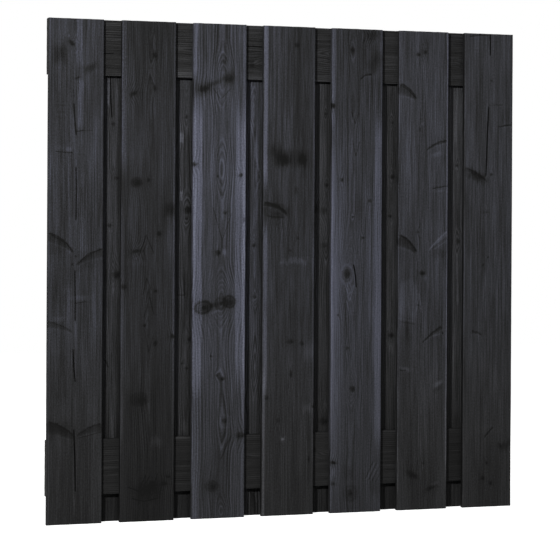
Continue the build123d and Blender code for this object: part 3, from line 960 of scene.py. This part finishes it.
def screw_places(plank):
    """Head centres of one plank's screws, a diagonal pair at each rail, driven from the back."""
    screws = bpy.context.scene.fence_screws
    low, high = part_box(plank)
    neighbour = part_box("back_plank_2")[0][0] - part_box("back_plank_1")[0][0]
    wide = high[0] - low[0]
    if plank.startswith("front"):
        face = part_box("top_rail")[1][1]
        spread = neighbour - wide - 2 * screws.strip_inset
    else:
        face = high[1]
        spread = wide - 2 * screws.edge_inset
    places = []
    for rail in ("top_rail", "bottom_rail"):
        foot, head = (corner[2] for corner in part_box(rail))
        rise = head - foot - 2 * screws.edge_inset
        for side in (-1, 1):
            across = (low[0] + high[0] + side * spread) / 2
            places.append(Vector((across, face - screws.sink, (foot + head - side * rise) / 2)))
    return places


def turn_down(form, ring, steps):
    """Carry a ring of edges on along Z through steps of (height, scale), and return the last ring."""
    for height, scale in steps:
        made = bmesh.ops.extrude_edge_only(form, edges=ring)["geom"]
        verts = only(made, bmesh.types.BMVert)
        ring = only(made, bmesh.types.BMEdge)
        bmesh.ops.scale(form, vec=(scale, scale, 1), verts=verts)
        bmesh.ops.translate(form, vec=(0, 0, height), verts=verts)
    return ring


def stand(form, verts, place):
    """Turn a form made along Z so that its top faces the back of the panel, and put it in its place."""
    bmesh.ops.rotate(form, cent=(0, 0, 0), matrix=Matrix.Rotation(-math.pi / 2, 3, "X"), verts=verts)
    bmesh.ops.translate(form, vec=place, verts=verts)


def ring_edges(verts):
    """The edges that run round a new ring of verts."""
    inside = set(verts)
    return list({edge for vert in verts for edge in vert.link_edges if edge.other_vert(vert) in inside})


def add_screw_form(form, place):
    """One countersunk screw with a star drive, a cone under its head, a threaded shank and a point."""
    screws = bpy.context.scene.fence_screws
    before = set(form.verts)
    head = screws.head / 2
    shank = screws.shank / 2
    rim = bmesh.ops.create_circle(form, cap_ends=False, radius=head, segments=SCREW_SIDES)["verts"]
    edges = ring_edges(rim)
    neck = head - shank
    plain = neck + SCREW_POINT - screws.length
    tip = turn_down(form, edges, [(-neck, shank / head), (plain, 1.0), (-SCREW_POINT, 0.05)])
    bmesh.ops.contextual_create(form, geom=tip)

    made = bmesh.ops.extrude_edge_only(form, edges=edges)["geom"]
    for vert in only(made, bmesh.types.BMVert):
        angle = math.atan2(vert.co.y, vert.co.x)
        reach = screws.drive / 2 * (0.86 + 0.14 * math.cos(6 * angle))
        vert.co = (reach * math.cos(angle), reach * math.sin(angle), 0)
    floor = turn_down(form, only(made, bmesh.types.BMEdge), [(-DRIVE_DEPTH, 0.92)])
    bmesh.ops.contextual_create(form, geom=floor)
    body = [face for vert in form.verts if vert not in before for face in vert.link_faces]
    bmesh.ops.recalc_face_normals(form, faces=list(set(body)))

    top = SCREW_POINT + screws.pitch * THREAD_TURNS - screws.length
    ridge = [form.verts.new((shank * 0.9, 0, top + side * THREAD_HALF)) for side in (-1, 1)]
    ridge.append(form.verts.new((shank * 1.3, 0, top)))
    loop = [form.edges.new((ridge[i], ridge[i - 1])) for i in range(3)]
    spun = bmesh.ops.spin(
        form, geom=ridge + loop, cent=(0, 0, 0), axis=(0, 0, 1), dvec=(0, 0, -screws.pitch / THREAD_STEPS),
        angle=2 * math.pi * THREAD_TURNS, steps=THREAD_STEPS * THREAD_TURNS, use_merge=False,
    )["geom_last"]
    form.faces.new(ridge)
    form.faces.new(only(spun, bmesh.types.BMVert))
    thread = {face for vert in ridge for face in vert.link_faces}
    grown = list(thread)
    while grown:
        near = {face for edge in grown.pop().edges for face in edge.link_faces} - thread
        thread |= near
        grown += near
    bmesh.ops.recalc_face_normals(form, faces=list(thread))
    stand(form, [vert for vert in form.verts if vert not in before], place)


def add_hole_form(form, place, depth):
    """What a screw's countersink and shank hole take out of a board."""
    screws = bpy.context.scene.fence_screws
    before = set(form.verts)
    rise = 2 * screws.sink
    mouth = screws.head / 2 + HOLE_PLAY + rise
    shank = screws.shank / 2 + HOLE_PLAY
    rim = bmesh.ops.create_circle(form, cap_ends=True, radius=mouth, segments=SCREW_SIDES)["verts"]
    end = turn_down(form, ring_edges(rim), [(shank - mouth, shank / mouth), (mouth - shank - depth, 1.0)])
    bmesh.ops.contextual_create(form, geom=end)
    made = [vert for vert in form.verts if vert not in before]
    bmesh.ops.recalc_face_normals(form, faces=list({face for vert in made for face in vert.link_faces}))
    bmesh.ops.translate(form, vec=(0, 0, rise), verts=made)
    stand(form, made, place)


def bored(mesh, places, depth):
    """A board's mesh with the holes of its screws."""
    form = bmesh.new()
    for place in places:
        add_hole_form(form, place, depth)
    drills = mesh_of(form, "drills")
    board = add_object("board", mesh)
    drill = add_object("drill", drills)
    cut = board.modifiers.new("bore", "BOOLEAN")
    cut.operation = "DIFFERENCE"
    cut.solver = "EXACT"
    cut.object = drill
    done = bpy.data.meshes.new_from_object(board.evaluated_get(bpy.context.evaluated_depsgraph_get()))
    for piece in (board, drill):
        bpy.data.objects.remove(piece)
    bpy.data.meshes.remove(drills)
    bpy.data.meshes.remove(mesh)
    done.set_sharp_from_angle(angle=WOOD_SHARP)
    return done


def satin_steel():
    """Stainless steel, turned and lightly brushed."""
    name = "stainless_steel"
    if name in bpy.data.materials:
        return bpy.data.materials[name]
    material = bpy.data.materials.new(name)
    tree = empty_tree(material)
    place = tree.nodes.new("ShaderNodeTexCoord").outputs["Object"]
    fine = new_node(tree, "ShaderNodeMapping", place, None, None, (900, 250, 900)).outputs[0]
    brushed = noise(tree, fine, 3.0, 0.6).outputs[0]
    tint = tree.nodes.new("ShaderNodeValToRGB")
    steel = bpy.context.scene.fence_screws.colour
    tint.color_ramp.elements[0].color = (*[0.82 * value for value in steel], 1)
    tint.color_ramp.elements[1].color = (*steel, 1)
    feed(tree, tint.inputs[0], brushed)
    normal = add_bump(tree, 0.25, 0.1 * MM, brushed)
    shader = tree.nodes.new("ShaderNodeBsdfPrincipled")
    feed(tree, shader.inputs["Base Color"], tint.outputs[0])
    feed(tree, shader.inputs["Metallic"], 1.0)
    feed(tree, shader.inputs["Roughness"], calc(tree, "MULTIPLY_ADD", brushed, 0.25, 0.22))
    feed(tree, shader.inputs["Normal"], normal)
    new_node(tree, "ShaderNodeOutputMaterial", shader.outputs[0])
    return material


def place_piece(name, mesh, node, material):
    """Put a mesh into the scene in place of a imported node."""
    piece = add_object(name, mesh)
    mesh.materials.clear()
    mesh.materials.append(material)
    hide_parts(node)
    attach(piece, BODY)


def add_plank(node, figure, seed):
    """One upright plank in the place of its node."""
    low, high = (Vector(corner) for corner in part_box(node))
    size = high - low
    middle = (low + high) / 2
    mesh = board_mesh(f"{node}_wood", figure, size, seed)
    mesh.transform(Matrix.Translation((middle.x, middle.y, low.z)))
    if node.startswith("back"):
        mesh = bored(mesh, screw_places(node), 2 * size.y)
    offset = Vector((-middle.x, -middle.y, -low.z)) / MM
    material = stained_wood(f"stain_{node}", figure, seed, offset, (0, 0, 0))
    place_piece(f"{node}_stained", mesh, node, material)


def add_rail(node, figure, seed):
    """One rail: a board laid on its side, its foot at the left end."""
    low, high = (Vector(corner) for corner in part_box(node))
    middle = (low + high) / 2
    mesh = board_mesh(f"{node}_wood", figure, (high.z - low.z, high.y - low.y, high.x - low.x), seed)
    lay = Matrix.Translation((low.x, middle.y, middle.z)) @ Matrix.Rotation(math.pi / 2, 4, "Y")
    mesh.transform(lay)
    places = []
    for number in range(1, len(FRONT_FIGURES) + 1):
        places += [place for place in screw_places(f"front_plank_{number}") if low.z < place.z < high.z]
    mesh = bored(mesh, places, 2 * (high.y - low.y))
    offset = Vector((middle.z, -middle.y, -low.x)) / MM
    material = stained_wood(f"stain_{node}", figure, seed, offset, (0, -math.pi / 2, 0))
    place_piece(f"{node}_stained", mesh, node, material)


class FENCE_OT_front_planks(bpy.types.Operator):
    """Build the front planks"""

    bl_idname = "fence.front_planks"
    bl_label = "Front planks"

    def execute(self, context):
        for number, figure in enumerate(FRONT_FIGURES, start=1):
            add_plank(f"front_plank_{number}", figure, 10 + number)
        return {"FINISHED"}


class FENCE_OT_back_planks(bpy.types.Operator):
    """Build the back planks"""

    bl_idname = "fence.back_planks"
    bl_label = "Back planks"

    def execute(self, context):
        for number, (figure, overlap_shade) in enumerate(zip(BACK_FIGURES, OVERLAP_SHADE), start=1):
            # Painted shade on both edges of each back plank, where the front planks overlap it
            edges = [Cloud(side * 67, 900, 47, 3000, overlap_shade, 0.65, 0, 14) for side in (-1, 1)]
            # Painted shade: each back plank drawn darker towards its foot
            foot = Cloud(0, 0, 300, 700, -15, 0)
            shaded_figure = figure._replace(features=[*edges, foot, *figure.features])
            add_plank(f"back_plank_{number}", shaded_figure, 30 + number)
        return {"FINISHED"}


class FENCE_OT_rails(bpy.types.Operator):
    """Build the two rails"""

    bl_idname = "fence.rails"
    bl_label = "Rails"

    def execute(self, context):
        for number, node in enumerate(("top_rail", "bottom_rail")):
            add_rail(node, RAIL_FIGURES[number], 50 + number)
        return {"FINISHED"}


class FENCE_OT_screws(bpy.types.Operator):
    """Build the countersunk screws, one group for each plank"""

    bl_idname = "fence.screws"
    bl_label = "Screws"

    def execute(self, context):
        planks = [node[:-len("_screws")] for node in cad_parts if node.endswith("_screws")]
        if not planks:
            raise RuntimeError("the packed model has no screws")
        for plank in planks:
            form = bmesh.new()
            for place in screw_places(plank):
                add_screw_form(form, place)
            mesh = mesh_of(form, f"{plank}_screws_steel")
            mesh.shade_smooth()
            mesh.set_sharp_from_angle(angle=STEEL_SHARP)
            place_piece(f"{plank}_screw_set", mesh, f"{plank}_screws", satin_steel())
        return {"FINISHED"}


def white_unless_lit(tree, shaders):
    """A switch of two shaders: the first for camera, mirror and see-through rays, the second for the rest."""
    path = tree.nodes.new("ShaderNodeLightPath").outputs
    seen = calc(tree, "MAXIMUM", path["Is Camera Ray"], path["Is Glossy Ray"])
    seen = calc(tree, "MAXIMUM", seen, path["Is Transmission Ray"])
    return new_node(tree, "ShaderNodeMixShader", seen, shaders[1], shaders[0]).outputs[0]


def add_lamp(name, place, aim, size, power):
    """A soft square lamp that points at a place."""
    data = bpy.data.lights.new(name, "AREA")
    data.shape = "SQUARE"
    data.size = size
    data.energy = power
    lamp = add_object(name, data)
    lamp.location = place
    lamp.rotation_euler = (Vector(aim) - Vector(place)).to_track_quat("-Z", "Y").to_euler()
    lamp.visible_camera = False


class FENCE_OT_stage(bpy.types.Operator):
    """Set up the floor, lamps, world and camera"""

    bl_idname = "fence.stage"
    bl_label = "Studio"

    def execute(self, context):
        scene = context.scene
        settings = scene.fence_stage
        scene.view_settings.view_transform = "Standard"

        form = bmesh.new()
        bmesh.ops.create_grid(form, x_segments=12, y_segments=12, size=9.0)
        mesh = mesh_of(form, "floor")
        floor = add_object("floor", mesh)
        material = bpy.data.materials.new("studio_floor")
        tree = empty_tree(material)
        place = tree.nodes.new("ShaderNodeTexCoord").outputs["Object"]
        far = ease(tree, vector_calc(tree, "LENGTH", place), 1.2, 4.0, 0.93, 1.0)
        glow = new_node(tree, "ShaderNodeEmission", (*settings.floor, 1), far).outputs[0]
        paper = new_node(tree, "ShaderNodeBsdfDiffuse", (0.5, 0.5, 0.5, 1)).outputs[0]
        shown = new_node(tree, "ShaderNodeAddShader", glow, paper).outputs[0]
        quiet = new_node(tree, "ShaderNodeBsdfDiffuse", (0.15, 0.15, 0.15, 1)).outputs[0]
        new_node(tree, "ShaderNodeOutputMaterial", white_unless_lit(tree, (shown, quiet)))
        mesh.materials.append(material)

        world = bpy.data.worlds.new("studio")
        tree = empty_tree(world)
        white = new_node(tree, "ShaderNodeBackground", (*settings.floor, 1), 1.0).outputs[0]
        soft = new_node(tree, "ShaderNodeBackground", (1, 1, 1, 1), settings.ambient).outputs[0]
        new_node(tree, "ShaderNodeOutputWorld", white_unless_lit(tree, (white, soft)))
        scene.world = world

        add_lamp("key", (-2.9, -3.6, 2.9), (0, 0, 0.9), 0.22, settings.key)
        add_lamp("rear", (1.6, 3.0, 2.4), (0, 0, 0.9), 0.5, settings.rear)
        add_lamp("fill", (2.3, -3.3, 2.9), (0, 0, 1.0), 1.6, settings.fill)

        data = bpy.data.cameras.new("photo_view")
        data.lens = settings.lens
        data.sensor_width = 36.0
        data.shift_y = -0.0945
        data.dof.use_dof = False
        camera = add_object("photo_view", data)
        turn = Matrix.Rotation(CAMERA_TURN, 4, "Z") @ Matrix.Rotation(math.pi / 2, 4, "X")
        turn = turn @ Matrix.Rotation(CAMERA_ROLL, 4, "Z")
        camera.matrix_world = Matrix.Translation(CAMERA_PLACE) @ turn
        scene.camera = camera
        return {"FINISHED"}


class FENCE_PT_panel(bpy.types.Panel):
    """The fence panel's pieces in the sidebar"""

    bl_idname = "FENCE_PT_panel"
    bl_label = "Fence panel"
    bl_space_type = "VIEW_3D"
    bl_region_type = "UI"
    bl_category = "Fence"

    def draw(self, context):
        layout = self.layout
        for operator in OPERATORS:
            layout.operator(operator.bl_idname)
        for group, made in SETTINGS.items():
            box = layout.box()
            for name in made.__annotations__:
                box.prop(getattr(context.scene, group), name)


SETTINGS = {
    "fence_stain": FenceStain,
    "fence_boards": FenceBoards,
    "fence_screws": FenceScrews,
    "fence_stage": FenceStage,
}
OPERATORS = [
    FENCE_OT_front_planks, FENCE_OT_back_planks, FENCE_OT_rails, FENCE_OT_screws, FENCE_OT_stage,
]


def register():
    """Register the settings, operators and panel."""
    for name, group in SETTINGS.items():
        bpy.utils.register_class(group)
        setattr(bpy.types.Scene, name, PointerProperty(type=group))
    for made in (*OPERATORS, FENCE_PT_panel):
        bpy.utils.register_class(made)


def unregister():
    """Take the settings, operators and panel away again."""
    for made in (FENCE_PT_panel, *reversed(OPERATORS)):
        bpy.utils.unregister_class(made)
    for name, group in SETTINGS.items():
        delattr(bpy.types.Scene, name)
        bpy.utils.unregister_class(group)


def main():
    """Build the panel and its studio."""
    register()
    bpy.ops.fence.front_planks()
    bpy.ops.fence.back_planks()
    bpy.ops.fence.rails()
    bpy.ops.fence.screws()
    bpy.ops.fence.stage()


if __name__ == "__main__":
    main()
